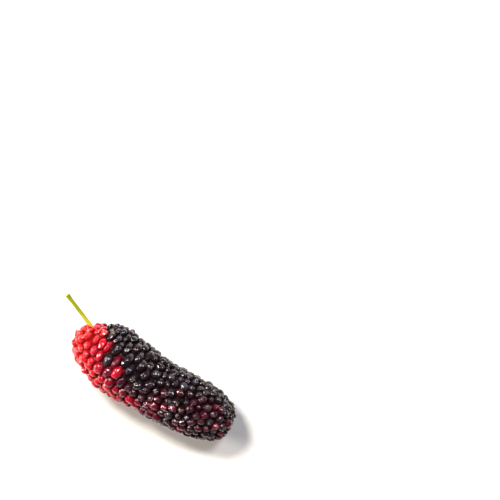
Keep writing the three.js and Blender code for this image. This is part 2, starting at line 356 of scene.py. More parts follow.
    def _crease(self, tree: Any, spot: Any, place: Any, kinds: Any, crown: Any) -> tuple[Any, Any]:
        """Give the skin the fine relief that is too small for the mesh.

        Creases run beside the seam that the mesh carries, and shallow dents break up the highlights.
        Unripe skin is taut and nearly smooth.

        Args:
            tree: the material's nodes.
            spot: the place on the fruit.
            place: the place in the drupelet's cell.
            kinds: each drupelet's ripeness, chance and share of painted sheen.
            crown: how far out on its dome a place lies.

        Returns:
            The sockets that carry the normals with the creases, and with the skin's grain as well.
        """
        bands = {"bands_direction": "Y", "wave_profile": "SIN"}
        waves = {"Vector": place, "Scale": 0.7, "Distortion": 2.6, "Detail": 1.0, "Detail Scale": 1.2}
        ruffle = add_node(tree, "TexWave", bands, waves | {"Phase Offset": kinds[1]})
        dent = {"Vector": spot, "Scale": per_metre(self.dent_mm), "Detail": 1.0}
        dents = add_node(tree, "TexNoise", {}, dent)
        both = [dents.outputs[0], self.dent_share, ruffle.outputs[1]]
        uneven = add_node(tree, "Math", {"operation": "MULTIPLY_ADD"}, both)
        fade = add_node(tree, "MapRange", SMOOTH, [crown, *self.creased_from])
        slack = add_node(tree, "MapRange", {}, [kinds[0], *self.taut_until, self.taut_relief])
        relief = add_node(tree, "Math", TIMES, [fade.outputs[0], slack.outputs[0]])
        cut = add_node(tree, "Math", TIMES, [uneven.outputs[0], relief.outputs[0]])
        crease = {"Strength": 0.8, "Distance": self.crease_depth_mm * MM, "Height": cut.outputs[0]}
        creased = add_node(tree, "Bump", {}, crease).outputs[0]
        fine = {"Vector": spot, "Scale": per_metre(self.grain_mm), "Detail": 3.0}
        grain = add_node(tree, "TexNoise", {}, fine)
        pores = {"Strength": 0.25, "Distance": self.grain_depth_mm * MM, "Height": grain.outputs[0]}
        grained = add_node(tree, "Bump", {}, pores | {"Normal": creased}).outputs[0]
        return creased, grained


@dataclass(frozen=True)
class GreenStalk:
    """Young mulberry stalk: living green bark, drawn out in fine fibres, cut across at its end.

    It is satin rather than glossy, lime green with paler streaks along the fibres, yellower where it
    enters the fruit. The cut shows pale pith with a darker ring of bark round it.
    """

    name: str = "young_green_stalk"
    bark: Stops = ((0.35, "#7C8A04"), (0.65, "#A3A60E"))
    at_fruit: str = "#BCB022"
    pith: str = "#D2CB8E"
    fibre_mm: float = 0.16
    fibre_stretch: float = 0.5
    fibre_depth_mm: float = 0.05
    yellow_mm: Span = (5.5, 1.0)
    glow: tuple[float, float, float] = (0.8, 1.0, 0.25)
    glow_depth_mm: float = 0.4

    def make(self) -> bpy.types.Material:
        """Mix the stalk's bark and pith.

        Returns:
            The finish as a material.
        """
        material, tree, skin = new_material(self.name)
        place = add_node(tree, "Attribute", {"attribute_name": "stalk_place"}, []).outputs["Vector"]
        along, _, pith = add_node(tree, "SeparateXYZ", {}, [place]).outputs
        drawn = {"Vector": place, "Scale": (self.fibre_stretch, 1 / self.fibre_mm, 0.0)}
        stretched = add_node(tree, "Mapping", {}, drawn).outputs[0]
        fibre = add_node(tree, "TexNoise", {}, {"Vector": stretched, "Scale": 1.0, "Detail": 4.0})
        ramp = add_node(tree, "ValToRGB", {}, [fibre.outputs[0]])
        set_stops(ramp, self.bark)
        ripe = add_node(tree, "MapRange", SMOOTH, [along, *self.yellow_mm])
        yellow = {0: ripe.outputs[0], 6: ramp.outputs[0], 7: linear(self.at_fruit)}
        yellowed = add_node(tree, "Mix", COLOURED, yellow)
        cut = {0: pith, 6: yellowed.outputs[2], 7: linear(self.pith)}
        coloured = add_node(tree, "Mix", COLOURED, cut)
        ribs = {"Strength": 0.5, "Distance": self.fibre_depth_mm * MM, "Height": fibre.outputs[0]}
        ribbed = add_node(tree, "Bump", {}, ribs)
        dressed = {
            "Base Color": coloured.outputs[2],
            "Roughness": 0.45,
            "IOR": 1.42,
            "Normal": ribbed.outputs[0],
            "Subsurface Weight": 0.2,
            "Subsurface Radius": self.glow,
            "Subsurface Scale": self.glow_depth_mm * MM,
        }
        fill_inputs(tree, skin, dressed)
        return material


@dataclass(frozen=True)
class DriedStyle:
    """Dried styles: the withered pollen-catching threads left on the drupelets.

    They are papery, tan and dull, flecked in darker and paler tan.
    """

    name: str = "dried_style"
    stops: Stops = ((0.35, "#8A6A42"), (0.65, "#CBB184"))
    fleck_mm: float = 0.4
    roughness: float = 0.7

    def make(self) -> bpy.types.Material:
        """Return the dried thread as a material."""
        return flecked_material(self.name, self.fleck_mm, self.stops, self.roughness)


@dataclass(frozen=True)
class PaleTable:
    """Matt painted board under the fruit: pale, even and without gloss."""

    name: str = "pale_painted_board"
    stops: Stops = ((0.3, "#EFEBE6"), (0.7, "#F2EFEB"))
    cloud_mm: float = 60.0
    roughness: float = 0.75

    def make(self) -> bpy.types.Material:
        """Return the painted board as a material."""
        return flecked_material(self.name, self.cloud_mm, self.stops, self.roughness)


def make_mesh_object(
    name: str,
    points: np.ndarray,
    faces: np.ndarray,
    material: bpy.types.Material,
    corners: dict[str, np.ndarray] | None = None,
) -> bpy.types.Object:
    """Make a smooth-shaded mesh object.

    Args:
        name: the piece's name.
        points: vertices in millimetres, one row each.
        faces: vertex indices, three or four to a row.
        material: the finish of the whole piece.
        corners: vectors for the shader to read by name, one for each corner of each face.

    Returns:
        The object, linked to the scene.
    """
    mesh = bpy.data.meshes.new(name)
    mesh.from_pydata((points * MM).tolist(), [], faces.tolist())
    for attribute, values in (corners or {}).items():
        layer = mesh.attributes.new(attribute, "FLOAT_VECTOR", "CORNER")
        layer.data.foreach_set("vector", np.ascontiguousarray(values, np.float32).ravel())
    mesh.shade_smooth()
    mesh.materials.append(material)
    piece = bpy.data.objects.new(name, mesh)
    bpy.context.scene.collection.objects.link(piece)
    return piece


def report(piece: bpy.types.Object) -> None:
    """Log a finished piece and its number of faces."""
    log.info("%s: %d faces", piece.name, len(piece.data.polygons))


@dataclass
class BentAxis:
    """The level, bent line that the fruit grows round, as a cubic curve."""

    start: tuple[float, float, float] = (-17.5, 4.1, 8.5)
    leave: tuple[float, float, float] = (5.2, -6.0, -0.2)
    arrive: tuple[float, float, float] = (27.7, -5.7, -1.1)
    reach: tuple[float, float, float] = (43.6, -2.3, -1.7)
    steps: int = 400
    nudge: float = 1e-4

    def __post_init__(self) -> None:
        """Measure the curve so that it can be walked by length."""
        begin = np.array(self.start)
        onward = [begin + np.array(step) for step in (self.leave, self.arrive, self.reach)]
        self.held = np.array([begin, *onward])
        self.shares = np.linspace(0, 1, self.steps + 1)
        walked = np.linalg.norm(np.diff(self._point(self.shares), axis=0), axis=1)
        self.lengths = np.concatenate([[0], np.cumsum(walked)])
        self.length = float(self.lengths[-1])

    def _point(self, t: np.ndarray) -> np.ndarray:
        """Find points of the curve.

        Args:
            t: shares of the way by the curve's own measure.

        Returns:
            The points there.
        """
        t = np.asarray(t, float)[..., None]
        a, b, c, d = self.held
        return (1 - t) ** 3 * a + 3 * (1 - t) ** 2 * t * b + 3 * (1 - t) * t**2 * c + t**3 * d

    def at(self, share: np.ndarray) -> tuple[np.ndarray, np.ndarray]:
        """Walk the axis by length.

        Args:
            share: shares of the length.

        Returns:
            The points there and the directions of the axis.
        """
        t = np.interp(np.asarray(share) * self.length, self.lengths, self.shares)
        before = np.clip(t - self.nudge, 0, 1)
        after = np.clip(t + self.nudge, 0, 1)
        return self._point(t), unit(self._point(after) - self._point(before))


@dataclass
class FruitForm:
    """The fruit's outer form over the tops of its drupelets: a meridian carried round the axis."""

    radius_at_stalk: float = 9.8
    radius_at_tip: float = 7.5
    bluntness_at_stalk: float = 2.8
    bluntness_at_tip: float = 3.4
    waist_depth: float = 0.1
    waist_length: float = 0.2
    axis: BentAxis = field(default_factory=BentAxis)

    def __post_init__(self) -> None:
        """Measure the meridian so that it can be walked by length."""
        self.turns = np.linspace(0, math.pi, self.axis.steps + 1)
        along, out = self.profile(self.turns)
        steps = np.hypot(np.diff(along), np.diff(out))
        self.arcs = np.concatenate([[0], np.cumsum(steps)])
        self.meridian = float(self.arcs[-1])

    def profile(self, turn: np.ndarray) -> tuple[np.ndarray, np.ndarray]:
        """Give the meridian at angles from the stalk's pole.

        Args:
            turn: angles from 0 at the stalk to half a turn at the tip.

        Returns:
            Distance along the axis and distance out from it.
        """
        power = 2 / np.where(turn < math.pi / 2, self.bluntness_at_stalk, self.bluntness_at_tip)
        cosine = np.cos(turn)
        share = 0.5 - 0.5 * np.sign(cosine) * np.abs(cosine) ** power
        waist = 1 - self.waist_depth * bump((share - 0.5) / self.waist_length)
        radius = mix(self.radius_at_stalk, self.radius_at_tip, share) * waist
        return share * self.axis.length, radius * np.abs(np.sin(turn)) ** power

    def at(self, arc: Any, around: Any) -> tuple[np.ndarray, np.ndarray, np.ndarray, np.ndarray]:
        """Find places on the form.

        Args:
            arc: lengths along the meridian from the stalk's pole.
            around: angles round the axis, from level on the inside of the bend up over the top.

        Returns:
            The points, the ways out from them, distances along the axis, and distances from it.
        """
        turn = np.interp(arc, self.arcs, self.turns)
        step = math.pi / self.axis.steps
        along, out = self.profile(turn)
        along_before, out_before = self.profile(np.maximum(turn - step, 0))
        along_after, out_after = self.profile(np.minimum(turn + step, math.pi))
        centre, tangent = self.axis.at(along / self.axis.length)
        side = unit(np.cross(UP, tangent))
        lift = np.cross(tangent, side)
        around = np.asarray(around)[..., None]
        spoke = side * np.cos(around) + lift * np.sin(around)
        run = (along_after - along_before)[..., None]
        fall = (out_before - out_after)[..., None]
        away = unit(spoke * run + tangent * fall)
        return centre + spoke * out[..., None], away, along, out


@dataclass
class Drupelet:
    """One drupelet's place on the form, and its cell among its neighbours."""

    arc: float
    around: float
    height: float
    pole: bool
    index: int = 0
    red: bool = False
    cell: list[int] = field(default_factory=list)
    across: list[int] = field(default_factory=list)


@dataclass
class DrupeletRule:
    """The rule that sets drupelets in rings round the fruit, each ring turned against the last."""

    form: FruitForm
    pitch_at_stalk: float = 2.4
    pitch_at_tip: float = 2.3
    row_pitch: float = 0.87
    ring_turn: Span = (0.5, 0.65)
    place_spread: float = 0.17
    height: float = 1.3
    height_spread: float = 0.15
    long_place: float = 13.0
    long_angle: float = 70.0
    long_place_spread: float = 6.0
    long_angle_spread: float = 40.0
    long_gain: float = 1.6
    red_reach: float = 12.3
    red_slant: float = 13.0
    red_cap: float = 4.8
    seed: int = 20261
    draw_factor: int = 48271
    draw_limit: int = 2147483647
    least_in_ring: int = 3
    round_steps: int = 360

    def draws(self) -> Iterator[float]:
        """Yield repeatable draws from 0 to 1, the same as in the part."""
        state = self.seed
        while True:
            state = (state * self.draw_factor) % self.draw_limit
            yield state / self.draw_limit

    def pitch(self, arc: float) -> float:
        """Return the distance from one drupelet to the next at this length along the meridian."""
        return mix(self.pitch_at_stalk, self.pitch_at_tip, arc / self.form.meridian)

    def past_red(self, arc: Any, along: Any, around: Any) -> Any:
        """Return how far places lie past the end of the red, in millimetres."""
        reach = self.red_reach - self.red_slant * np.cos(around)
        return np.minimum(along - reach, arc - self.red_cap)

    def spread_round(self, along: float, radius: float, pitch: float, twist: float) -> list[float]:
        """Give the angles of one ring, further apart where the drupelets are long.

        Args:
            along: the ring's distance along the axis.
            radius: its distance out from the axis.
            pitch: from one drupelet to the next.
            twist: how far the ring is turned, in turns.

        Returns:
            Angles round the axis.
        """
        steps = self.round_steps
        angles = TURN * (np.arange(steps) + 0.5) / steps
        off = wrap(angles - math.radians(self.long_angle)) / math.radians(self.long_angle_spread)
        patch = bump((along - self.long_place) / self.long_place_spread) * bump(off)
        filled = np.concatenate([[0], np.cumsum(1 / (1 + self.long_gain * patch))])
        total = float(filled[-1])
        count = max(self.least_in_ring, math.floor((total / steps) * (TURN * radius) / pitch + 0.5))
        wanted = ((np.arange(count) + twist * count) % count) / count * total
        return (TURN * np.interp(wanted, filled, np.arange(steps + 1)) / steps).tolist()

    def place(self) -> list[list[Drupelet]]:
        """Set the drupelets in their rings.

        Returns:
            The rings, from the one where the stalk enters to the one at the tip.
        """
        draw = self.draws()
        meridian = self.form.meridian
        arcs = [0.0]
        while arcs[-1] < meridian:
            arcs.append(arcs[-1] + self.pitch(arcs[-1]) * self.row_pitch)
        stretch = meridian / arcs[-1]
        twist = 0.0
        rings = []
        for row, unstretched in enumerate(arcs):
            arc = unstretched * stretch
            if row in (0, len(arcs) - 1):
                rings.append([Drupelet(arc, 0.0, 0.0 if row == 0 else self.height, True)])
                continue
            _, _, along, radius = self.form.at(np.array([arc]), np.array([0.0]))
            pitch = self.pitch(arc)
            twist += mix(*self.ring_turn, next(draw)) * pitch / (TURN * radius[0])
            ring = []
            for around in self.spread_round(along[0], radius[0], pitch, twist):
                shift_along = mix(-self.place_spread, self.place_spread, next(draw)) * pitch
                shift_around = mix(-self.place_spread, self.place_spread, next(draw)) * pitch
                tall = self.height * mix(1 - self.height_spread, 1 + self.height_spread, next(draw))
                turned = around + shift_around / max(radius[0], pitch)
                ring.append(Drupelet(arc + shift_along, turned, tall, False))
            rings.append(sorted(ring, key=lambda one: one.around))
        for index, one in enumerate(one for ring in rings for one in ring):
            one.index = index
        return rings


def stitch_rings(rings: list[list[Drupelet]], points: np.ndarray) -> list[tuple[int, int, int]]:
    """Stitch neighbouring rings into triangles, each time the shorter way across.

    Args:
        rings: the drupelets, ring by ring.
        points: each drupelet's place on the form.

    Returns:
        Indices of the three drupelets round each valley point.
    """

    def apart(a: Drupelet, b: Drupelet) -> float:
        """Return the distance between two drupelets."""
        return float(np.linalg.norm(points[a.index] - points[b.index]))

    triangles = []
    for near, far in zip(rings, rings[1:]):
        near_steps = 0 if len(near) == 1 else len(near)
        far_steps = 0 if len(far) == 1 else len(far)
        i = 0
        j = int(np.argmin([apart(near[0], one) for one in far]))
        last = j + far_steps
        while i < near_steps or j < last:
            here, there = near[i % len(near)], far[j % len(far)]
            next_here, next_there = near[(i + 1) % len(near)], far[(j + 1) % len(far)]
            if j >= last or (i < near_steps and apart(next_here, there) < apart(here, next_there)):
                triangles.append((here.index, next_here.index, there.index))
                i += 1
            else:
                triangles.append((here.index, next_there.index, there.index))
                j += 1
    return triangles


@dataclass
class Patch:
    """One drupelet's own measures.

    Its floor's middle, the rows of its rim points, the oval that its dome fills, its frame with the way
    to the tip first and the way out last, its seams, height, lean and crease, and how long it is from 0
    for round to 1.
    """

    floor: np.ndarray
    rim: np.ndarray
    stretch: np.ndarray
    frame: np.ndarray
    seams: np.ndarray
    height: float
    lean: np.ndarray
    crease: float
    long: float


@dataclass(frozen=True)
class Ripening:
    """How ripe the drupelets are along the fruit, from 0 for bright red to 1 for black.

    Over the top and on the inside of the bend the red ends sharply. Round the outside it turns slowly
    and stays wine-coloured as far as the tip. The first two tables and the last go by millimetres past
    the end of the red, and the third gives how far round to the outside the slow turning begins, by
    millimetres along the axis. The late, bright and dark drupelets each have a share of all, a change
    in ripeness, and a distance past the end of the red that bounds where they are.
    """

    sharp: Table = ((-9.0, 0.03), (-3.0, 0.2), (0.0, 0.48), (1.2, 1.0))
    # Painted shade: the red end of this table is set a little riper than the fruit's own slow turning,
    # so the outside of the bend shows darker, standing in for shade there
    slow: Table = ((-16.0, 0.03), (-9.0, 0.28), (-4.0, 0.57), (2.0, 0.74), (9.0, 0.79), (14.0, 0.82))
    slow_from: Table = (
        (10.0, 0.42),
        (16.0, 0.46),
        (20.0, 0.56),
        (23.0, 0.55),
        (25.4, 0.42),
        (28.7, 0.26),
        (32.0, 0.18),
        (38.0, 0.11),
    )
    least: Table = ((3.0, 0.0), (8.0, 0.58))
    slow_width: float = 0.2
    spread: tuple[float, float, float] = (0.05, 0.11, 0.07)
    spread_over: Span = (-4.0, 4.0)
    late: tuple[float, float, float] = (0.16, -0.16, 3.0)
    bright: tuple[float, float, float] = (0.2, -0.3, 4.0)
    dark: tuple[float, float, float] = (0.2, 0.3, -8.0)
    dark_until: float = 0.8
    dull_angle: float = 97.0
    dull_width: float = 0.35
    dull_over: Span = (5.0, 9.0)
    dull_until: float = 3.0
    dull_gain: float = 0.17
    plum_loss: float = 0.12
    plum_over: Span = (22.0, 34.0)
    plum_outside: Span = (0.05, 0.35)

    def ripeness(
        self, past_red: np.ndarray, along: np.ndarray, around: np.ndarray, chance: np.random.Generator
    ) -> np.ndarray:
        """Say how ripe each drupelet is.

        Args:
            past_red: how far each drupelet lies past the end of the red.
            along: its distance along the axis.
            around: its angle round the axis.
            chance: where the differences between neighbours come from.

        Returns:
            0 for bright red to 1 for black.
        """
        count = len(past_red)
        outside = 0.5 - 0.5 * np.cos(around)
        kept = smooth_step((outside - look_up(self.slow_from, along)) / self.slow_width)
        near, middle, far = self.spread
        spread = mix(near, mix(middle, far, rise(past_red, *self.spread_over)), kept)
        changed = chance.normal(0, 1, count) * spread

        # Some drupelets are behind the others or ahead of them
        choices = (
            (self.late, (past_red > self.late[2]) * kept),
            (self.bright, (np.abs(past_red) < self.bright[2]) * kept),
            (self.dark, (past_red > self.dark[2]) * (outside < self.dark_until)),
        )
        for (share, change, _), where in choices:
            changed += (chance.random(count) < share) * where * change

        # A dull patch lies on top, just before the black
        dull = bump(wrap(around - math.radians(self.dull_angle)) / self.dull_width)
        changed += dull * rise(along, *self.dull_over) * (past_red < self.dull_until) * self.dull_gain

        # Towards the tip the ripe drupelets are plum rather than black
        plum = rise(along, *self.plum_over) * rise(outside, *self.plum_outside)
        sharp = np.minimum(look_up(self.sharp, past_red), 1 - self.plum_loss * plum)
        held = np.clip(mix(sharp, look_up(self.slow, past_red), kept) + changed, 0, 1)
        return np.maximum(held, look_up(self.least, past_red))


class Colour(Enum):
    """The fruit's two colours: each one's piece, the plain node that it replaces, and its skin."""

    # The last colour of each skin is its painted valley shade
    RED = ("red_fruit", "red_drupelets", DrupeletSkin("unripe_mulberry_skin", 0.35, 0.12, "#A01A30"))
    BLACK = ("ripe_fruit", "black_drupelets", DrupeletSkin("ripe_mulberry_skin", 0.08, 0.15, "#861228"))


@dataclass
class Fruit:
    """The mulberry's flesh: every drupelet as a taut dome, in one mesh for each colour."""

    rule: DrupeletRule
    ripening: Ripening = field(default_factory=Ripening)
    edge_steps: int = 6
    dome_rings: int = 9
    fullness: float = 1.02
    roundness: float = 2.1
    settling: int = 4
    splaying: int = 3
    lean_to_tip: float = 0.1
    lean_spread: float = 0.1
    dimple_mm: float = 0.12
    dimple_reach: float = 0.16
    crease_mm: float = 0.26
    crease_spread: Span = (0.2, 1.0)
    crease_ripening: Span = (0.5, 1.15)
    crease_until: Span = (1.02, 0.57)
    cross_crease: float = 0.5
    crease_width: float = 0.19
    long_from: float = 0.7
    long_seams: float = 0.28
    long_crease: float = 0.6
    vigour_mm: float = 0.34
    vigour_height: float = 0.12
    seam_gap: float = 0.05
    socket_radius: float = 0.62
    socket_depth: float = 3.4
    socket_rings: Table = ((0.6, 1.0), (1.0, 0.97), (1.0, 0.6), (1.0, 0.25), (1.06, 0.03))
    seed: int = 7

    def __post_init__(self) -> None:
        """Set every drupelet in its place and trace its cell."""
        self.rings = self.rule.place()
        self.drupelets = [one for ring in self.rings for one in ring]
        arcs = np.array([one.arc for one in self.drupelets])
        around = np.array([one.around for one in self.drupelets])
        self.points, self.outs, self.alongs, _ = self.rule.form.at(arcs, around)
        self.triangles = stitch_rings(self.rings, self.points)
        self.valleys, self.valley_outs = self._sink_valleys(arcs, around)
        self._trace_cells()
        past_red = self.rule.past_red(arcs, self.alongs, around)
        for one in self.drupelets:
            one.red = bool(past_red[one.index] < 0)
        self.chance = np.random.default_rng(self.seed)
        self.ripeness = self.ripening.ripeness(past_red, self.alongs, around, self.chance)
        count = len(self.drupelets)
        self.chances = self.chance.random(count)
        # How much painted sheen each drupelet may take
        self.painted_sheen_share = self.chance.random(count) ** 3
        self.vigour = self.chance.uniform(-1, 1, count)

    def _sink_valleys(self, arcs: np.ndarray, around: np.ndarray) -> tuple[np.ndarray, np.ndarray]:
        """Give the valley points, where three drupelets meet.

        Args:
            arcs: each drupelet's length along the meridian.
            around: its angle round the axis.

        Returns:
            The points, sunk below the form, and the ways out from them.
        """
        middle_arcs, middle_angles = [], []
        for corners in self.triangles:
            free = [i for i in corners if not self.drupelets[i].pole]
            first = around[free[0]]
            middle_angles.append(first + float(np.mean([wrap(around[i] - first) for i in free])))
            middle_arcs.append(float(np.mean(arcs[list(corners)])))
        places, outs, _, _ = self.rule.form.at(np.array(middle_arcs), np.array(middle_angles))
        return places - outs * self.rule.height, outs

    def _trace_cells(self) -> None:
        """Put the valley points round each drupelet in order, with its neighbour across each edge."""
        onward: list[dict[int, tuple[int, int]]] = [{} for _ in self.drupelets]
        for valley, corners in enumerate(self.triangles):
            for k, index in enumerate(corners):
                onward[index][corners[(k + 1) % 3]] = (valley, corners[(k + 2) % 3])
        for one, links in zip(self.drupelets, onward):
            at = next(iter(links))
            while len(one.cell) < len(links):
                valley, at = links[at]
                one.cell.append(valley)
                one.across.append(at)

    def _rim_of(self, one: Drupelet) -> np.ndarray:
        """Return a drupelet's rim points in order: each valley, then the points up to the next."""
        onward = one.cell[1:] + one.cell[:1]
        return np.concatenate([self.rim_rows[pair] for pair in zip(one.cell, onward)])

    def _lay_rims(self) -> None:
        """Lay the points that neighbouring drupelets share: the valleys and the edges between them."""
        rims = [self.valleys]
        outs = [self.valley_outs]
        self.rim_rows: dict[tuple[int, int], np.ndarray] = {}
        self.rim_owners: list[tuple[int, ...]] = [tuple(corners) for corners in self.triangles]
        count = len(self.valleys)
        shares = np.arange(1, self.edge_steps)[:, None] / self.edge_steps
        for one in self.drupelets:
            for k, valley in enumerate(one.cell):
                onward = one.cell[(k + 1) % len(one.cell)]
                if (valley, onward) in self.rim_rows:
                    continue
                rows = np.arange(count, count + self.edge_steps - 1)
                count += self.edge_steps - 1
                other = one.across[k]
                # The stronger of the two drupelets bows the edge towards the other
                away = unit(self.points[other] - self.points[one.index])
                push = (self.vigour[one.index] - self.vigour[other]) * self.vigour_mm * 2
                bow = away * push * shares * (1 - shares)
                rims.append(mix(self.valleys[valley], self.valleys[onward], shares) + bow)
                outs.append(mix(self.valley_outs[valley], self.valley_outs[onward], shares))
                self.rim_rows[(valley, onward)] = np.concatenate([[valley], rows])
                self.rim_rows[(onward, valley)] = np.concatenate([[onward], rows[::-1]])
                self.rim_owners.extend([(one.index, other)] * (self.edge_steps - 1))
        self.rims = np.concatenate(rims)
        self.rim_outs = unit(np.concatenate(outs))

    def _patch(self, one: Drupelet) -> Patch:
        """Measure a drupelet.

        Args:
            one: the drupelet.

        Returns:
            Its floor, its rim, the oval that its dome fills and the rest.
        """
        out = self.outs[one.index]
        floor = self.points[one.index] - out * self.rule.height
        axis = self.rule.form.axis
        _, tangent = axis.at(np.array([self.alongs[one.index] / axis.length]))
        to_tip = unit(tangent[0] - out * (tangent[0] @ out) + TRACE)
        frame = np.array([to_tip, np.cross(out, to_tip), out])
        rim = self._rim_of(one)
        flat = (self.rims[rim] - floor) @ frame[:2].T

        # The oval goes through the middles of the cell's edges, and the seams lie along it
        middles = flat[self.edge_steps // 2 :: self.edge_steps]
        stretch = np.linalg.inv(2 * (middles.T @ middles / len(middles)))
        sizes, axes = np.linalg.eigh(stretch)
        narrow = sizes[0] / sizes[1]
        long = smooth_step((1 - narrow) / self.long_from)
        turn = self.chances[one.index] * math.pi * narrow**2
        turned = np.array([[math.cos(turn), -math.sin(turn)], [math.sin(turn), math.cos(turn)]])
        seams = (axes * np.sqrt(sizes)) @ turned
        height = one.height * (1 + self.vigour_height * self.vigour[one.index])
        deep = self.crease_mm * self.chance.uniform(*self.crease_spread)
        crease = deep * mix(*self.crease_ripening, self.ripeness[one.index])
        lean = frame[0] * self.lean_to_tip + frame[:2].T @ self.chance.normal(0, self.lean_spread, 2)
        return Patch(floor, rim, stretch, frame, seams, height, lean, crease, float(long))

    def _edge(self, patch: Patch) -> np.ndarray:
        """Return the places of a drupelet's rim points in its cell."""
        return (self.rims[patch.rim] - patch.floor) @ patch.frame[:2].T

    def _dome(self, patch: Patch, flat: np.ndarray) -> tuple[np.ndarray, np.ndarray]:
        """Raise a dome over places in its cell.

        Args:
            patch: the drupelet's measures.
            flat: places in the cell from its middle, in its own plane.

        Returns:
            Heights above the floor, and how far out each place is: 0 at the tip, 1 at the dome's foot.
        """
        reach = np.sqrt(np.einsum("...i,ij,...j->...", flat, patch.stretch, flat)) / self.fullness
        inside = np.clip(1 - reach**self.roundness, 0, 1)
        return patch.height * inside ** (1 / self.roundness), reach

    def _share_heights(self, patches: list[Patch]) -> None:
        """Give each rim point the middle height of the domes that meet there.

        Args:
            patches: every drupelet's measures.
        """
        total = np.zeros(len(self.rims))
        meeting = np.zeros(len(self.rims))
        for one, patch in zip(self.drupelets, patches):
            heights, _ = self._dome(patch, self._edge(patch))
            if one.index == 0:
                heights = heights * 0
            np.add.at(total, patch.rim, heights)
            np.add.at(meeting, patch.rim, 1)
        self.rim_heights = total / meeting
        self.rim_tops = self.rims + self.rim_outs * self.rim_heights[:, None]

    def _raise(self, one: Drupelet, patch: Patch) -> tuple[np.ndarray, np.ndarray, np.ndarray]:
        """Raise one drupelet.

        Args:
            one: the drupelet.
            patch: its measures.

        Returns:
            Its points from the tip outwards, ring by ring without the rim, and for these and the rim
            the places in the cell and how far out they are.
        """
        around = len(patch.rim)
        edge = self._edge(patch)
        steps = np.sin(np.linspace(0, math.pi / 2, self.dome_rings + 1))[1:, None, None]
        flat = np.concatenate([np.zeros((1, 2)), (edge * steps).reshape(-1, 2)])
        shares = np.concatenate([[0], np.repeat(steps.ravel(), around)])
        heights, reach = self._dome(patch, flat)
        edge_heights = np.concatenate([[0], np.tile(self.rim_heights[patch.rim], self.dome_rings)])
        own_edge, _ = self._dome(patch, edge)
        own_heights = np.concatenate([[0], np.tile(own_edge, self.dome_rings)])
        blend = shares**self.settling
        heights = heights + (edge_heights - own_heights) * blend

        # Two seams cross on a round drupelet, and two run side by side along a long one
        seams = flat @ patch.seams
        inside = rise(reach, *self.crease_until)
        middle = self.long_seams * patch.long
        groove = bump((seams[:, 1] - middle) / self.crease_width)
        groove = groove + patch.long * bump((seams[:, 1] + middle) / self.crease_width)
        across = self.cross_crease * (1 - patch.long) * bump(seams[:, 0] / self.crease_width)
        groove = groove * mix(1.0, self.long_crease, patch.long) + across * np.clip(1 - groove, 0, 1)
        dimple = self.dimple_mm * self.chances[one.index] * (1 - patch.long)
        heights = heights - groove * inside * patch.crease - bump(reach / self.dimple_reach) * dimple

        # The points rise along ways that turn from the drupelet's own to the valley's
        own = patch.frame[2]
        rim_outs = np.concatenate([[own], np.tile(self.rim_outs[patch.rim], (self.dome_rings, 1))])
        outs = unit(mix(own, rim_outs, shares[:, None] ** self.splaying))
        base = mix(patch.floor, self.rims[patch.rim], steps).reshape(-1, 3)
        lean = patch.lean * (heights * (1 - blend))[:, None]
        points = np.concatenate([[patch.floor], base]) + outs * heights[:, None] + lean
        return points[:-around], seams, reach

    def _sink_socket(
        self, patch: Patch, inward: np.ndarray
    ) -> tuple[np.ndarray, np.ndarray, np.ndarray]:
        """Sink the hole that the stalk stands in, where its cell lies.

        Args:
            patch: the measures of the cell where the stalk enters.
            inward: the direction of the stalk into the fruit.

        Returns:
            The same as for a raised drupelet.
        """
        edge = self._edge(patch)
        ways = unit(edge) * self.socket_radius
        rings = [patch.floor + inward * self.socket_depth]
        flats = [np.zeros((1, 2))]
        for radius, depth in self.socket_rings:
            flats.append(ways * radius)
            rings.append(patch.floor + flats[-1] @ patch.frame[:2] + inward * depth * self.socket_depth)
        out_steps = self.dome_rings - len(self.socket_rings)
        for step in range(1, out_steps):
            flats.append(mix(ways * self.socket_rings[-1][0], edge, step / out_steps))
            rings.append(patch.floor + flats[-1] @ patch.frame[:2])
        places = np.concatenate([*flats, edge])
        points = np.concatenate([np.atleast_2d(ring) for ring in rings])
        # The whole hole reads as a dome's foot, so it takes the painted valley shade
        return points, places * 0 + 1, np.ones(len(places))

    def build(self, stalk: Stalk) -> None:
        """Build the domes and the walls inside, and set them in place of the plain ones.

        Args:
            stalk: the stalk that stands in the fruit.
        """
        self._lay_rims()
        patches = [self._patch(one) for one in self.drupelets]
        self._share_heights(patches)
        self.tops = np.zeros((len(self.drupelets), 3))
        for colour in Colour:
            name, node, skin = colour.value
            points, faces, corners = self._build_colour(colour is Colour.RED, patches, stalk)
            piece = make_mesh_object(name, points, faces, skin.make(), corners)
            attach(piece, BODY)
            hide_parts(node)
            report(piece)

